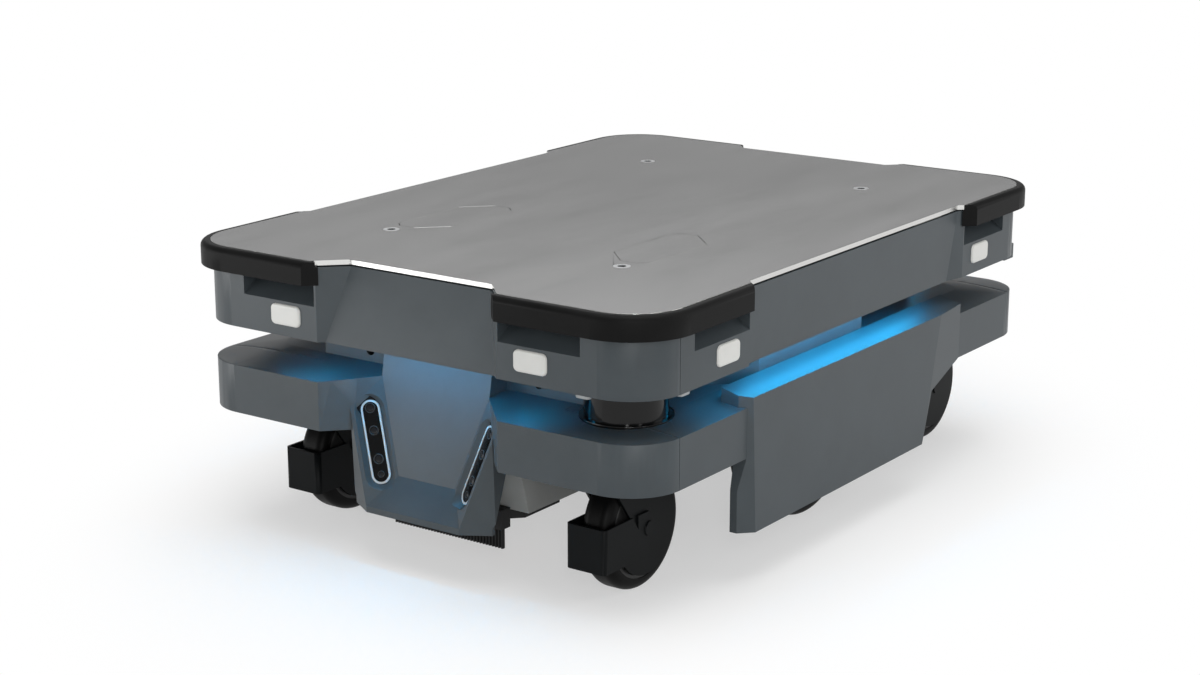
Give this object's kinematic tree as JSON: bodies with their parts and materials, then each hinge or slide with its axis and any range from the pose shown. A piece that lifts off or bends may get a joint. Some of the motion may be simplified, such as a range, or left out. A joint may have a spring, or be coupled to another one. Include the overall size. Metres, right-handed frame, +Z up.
{
  "type": "autonomous mobile robot",
  "caption": "Low flat autonomous mobile robot with load plate, laser scanners, faceted camera nose, driven wheels and swivel casters.",
  "frame": {"origin": "on the floor in the middle of the footprint", "axes": "+X forward to the camera nose, +Y to the robot's left, +Z up"},
  "size_m": [0.8, 0.58, 0.3],
  "materials": {
    "body_paint": "satin powder coat, dark blue-grey",
    "plate_steel": "brushed",
    "bumper_rubber": "matt",
    "black_plastic": "matt",
    "gloss_black": "gloss",
    "light_lens": "opal",
    "status_lens": "lit opal",
    "frame_paint": "powder coat",
    "belly_paint": "light grey coat",
    "bare_steel": "turned",
    "black_steel": "black coat",
    "wheel_tyre": "matt",
    "cast_aluminium": "cast",
    "contact_copper": "worn",
    "bezel_white": "satin",
    "button_white": "satin",
    "button_red": "satin",
    "button_blue": "satin"
  },
  "bodies": {
    "chassis": {"battery_pack": "black_plastic", "belly_tray": "belly_paint", "brush_comb": "black_plastic", "brush_holder": "black_plastic", "bumpers_front": "bumper_rubber", "bumpers_rear": "bumper_rubber", "cable_covers": "plate_steel", "camera_bezels": "bezel_white", "camera_left": "black_plastic", "camera_right": "black_plastic", "camera_windows": "gloss_black", "caster_plates": "bare_steel", "charging_bars": "contact_copper", "charging_block": "black_plastic", "chassis_base": "frame_paint", "chassis_neck": "frame_paint", "control_panel": "body_paint", "drive_pivot_pins": "bare_steel", "left_skirt": "body_paint", "lower_front_left_cover": "body_paint", "lower_front_right_cover": "body_paint", "lower_rear_cover": "body_paint", "mount_inserts": "bare_steel", "nose_cover": "body_paint", "right_skirt": "body_paint", "robot_computer": "cast_aluminium", "scanner_front": "black_plastic", "scanner_rear": "black_plastic", "scanner_windows": "gloss_black", "signal_lights": "light_lens", "status_light_strips": "status_lens", "top_plate": "plate_steel", "upper_front_cover": "body_paint", "upper_left_cover": "body_paint", "upper_rear_cover": "body_paint", "upper_right_cover": "body_paint"},
    "caster_front_left": {"caster_fork_front_left": "black_steel"},
    "caster_wheel_front_left": {"caster_hub_front_left": "black_plastic", "caster_tyre_front_left": "wheel_tyre"},
    "caster_front_right": {"caster_fork_front_right": "black_steel"},
    "caster_wheel_front_right": {"caster_hub_front_right": "black_plastic", "caster_tyre_front_right": "wheel_tyre"},
    "caster_rear_left": {"caster_fork_rear_left": "black_steel"},
    "caster_wheel_rear_left": {"caster_hub_rear_left": "black_plastic", "caster_tyre_rear_left": "wheel_tyre"},
    "caster_rear_right": {"caster_fork_rear_right": "black_steel"},
    "caster_wheel_rear_right": {"caster_hub_rear_right": "black_plastic", "caster_tyre_rear_right": "wheel_tyre"},
    "drive_arm_left": {"drive_arm_left": "black_steel", "drive_motor_left": "cast_aluminium"},
    "drive_wheel_left": {"drive_hub_left": "cast_aluminium", "drive_tyre_left": "wheel_tyre"},
    "drive_arm_right": {"drive_arm_right": "black_steel", "drive_motor_right": "cast_aluminium"},
    "drive_wheel_right": {"drive_hub_right": "cast_aluminium", "drive_tyre_right": "wheel_tyre"},
    "stop_button": {"stop_button": "button_red"},
    "resume_button": {"resume_button": "button_blue"},
    "power_button": {"power_button": "button_white"},
    "brake_button": {"brake_button": "button_white"}
  },
  "joints": [
    {"name": "caster_front_left_swivel", "type": "hinge", "parent": "chassis", "child": "caster_front_left", "pos_m": [0.3055, 0.187, 0.14], "axis": [0, 0, 1], "continuous": true},
    {"name": "caster_wheel_front_left_roll", "type": "hinge", "parent": "caster_front_left", "child": "caster_wheel_front_left", "pos_m": [0.2815, 0.187, 0.0625], "axis": [0, 1, 0], "continuous": true},
    {"name": "caster_front_right_swivel", "type": "hinge", "parent": "chassis", "child": "caster_front_right", "pos_m": [0.284, -0.187, 0.14], "axis": [0, 0, 1], "continuous": true},
    {"name": "caster_wheel_front_right_roll", "type": "hinge", "parent": "caster_front_right", "child": "caster_wheel_front_right", "pos_m": [0.26, -0.187, 0.0625], "axis": [0, 1, 0], "continuous": true},
    {"name": "caster_rear_left_swivel", "type": "hinge", "parent": "chassis", "child": "caster_rear_left", "pos_m": [-0.284, 0.187, 0.14], "axis": [0, 0, 1], "continuous": true},
    {"name": "caster_wheel_rear_left_roll", "type": "hinge", "parent": "caster_rear_left", "child": "caster_wheel_rear_left", "pos_m": [-0.308, 0.187, 0.0625], "axis": [0, 1, 0], "continuous": true},
    {"name": "caster_rear_right_swivel", "type": "hinge", "parent": "chassis", "child": "caster_rear_right", "pos_m": [-0.3055, -0.187, 0.14], "axis": [0, 0, 1], "continuous": true},
    {"name": "caster_wheel_rear_right_roll", "type": "hinge", "parent": "caster_rear_right", "child": "caster_wheel_rear_right", "pos_m": [-0.3295, -0.187, 0.0625], "axis": [0, 1, 0], "continuous": true},
    {"name": "drive_arm_left_swing", "type": "hinge", "parent": "chassis", "child": "drive_arm_left", "pos_m": [0.118, 0.152, 0.128], "axis": [0, 1, 0], "range_deg": [-1.5, 1.5], "stiffness_Nm_per_rad": 2000},
    {"name": "drive_wheel_left_roll", "type": "hinge", "parent": "drive_arm_left", "child": "drive_wheel_left", "pos_m": [0, 0.2, 0.1], "axis": [0, 1, 0], "continuous": true},
    {"name": "drive_arm_right_swing", "type": "hinge", "parent": "chassis", "child": "drive_arm_right", "pos_m": [0.118, -0.152, 0.128], "axis": [0, 1, 0], "range_deg": [-1.5, 1.5], "stiffness_Nm_per_rad": 2000},
    {"name": "drive_wheel_right_roll", "type": "hinge", "parent": "drive_arm_right", "child": "drive_wheel_right", "pos_m": [0, -0.2, 0.1], "axis": [0, 1, 0], "continuous": true},
    {"name": "stop_button_press", "type": "slide", "parent": "chassis", "child": "stop_button", "axis": [1, 0, 0], "range_m": [0, 0.002], "stiffness_N_per_m": 400},
    {"name": "resume_button_press", "type": "slide", "parent": "chassis", "child": "resume_button", "axis": [1, 0, 0], "range_m": [0, 0.002], "stiffness_N_per_m": 400},
    {"name": "power_button_press", "type": "slide", "parent": "chassis", "child": "power_button", "axis": [1, 0, 0], "range_m": [0, 0.002], "stiffness_N_per_m": 400},
    {"name": "brake_button_press", "type": "slide", "parent": "chassis", "child": "brake_button", "axis": [1, 0, 0], "range_m": [0, 0.002], "stiffness_N_per_m": 400}
  ]
}
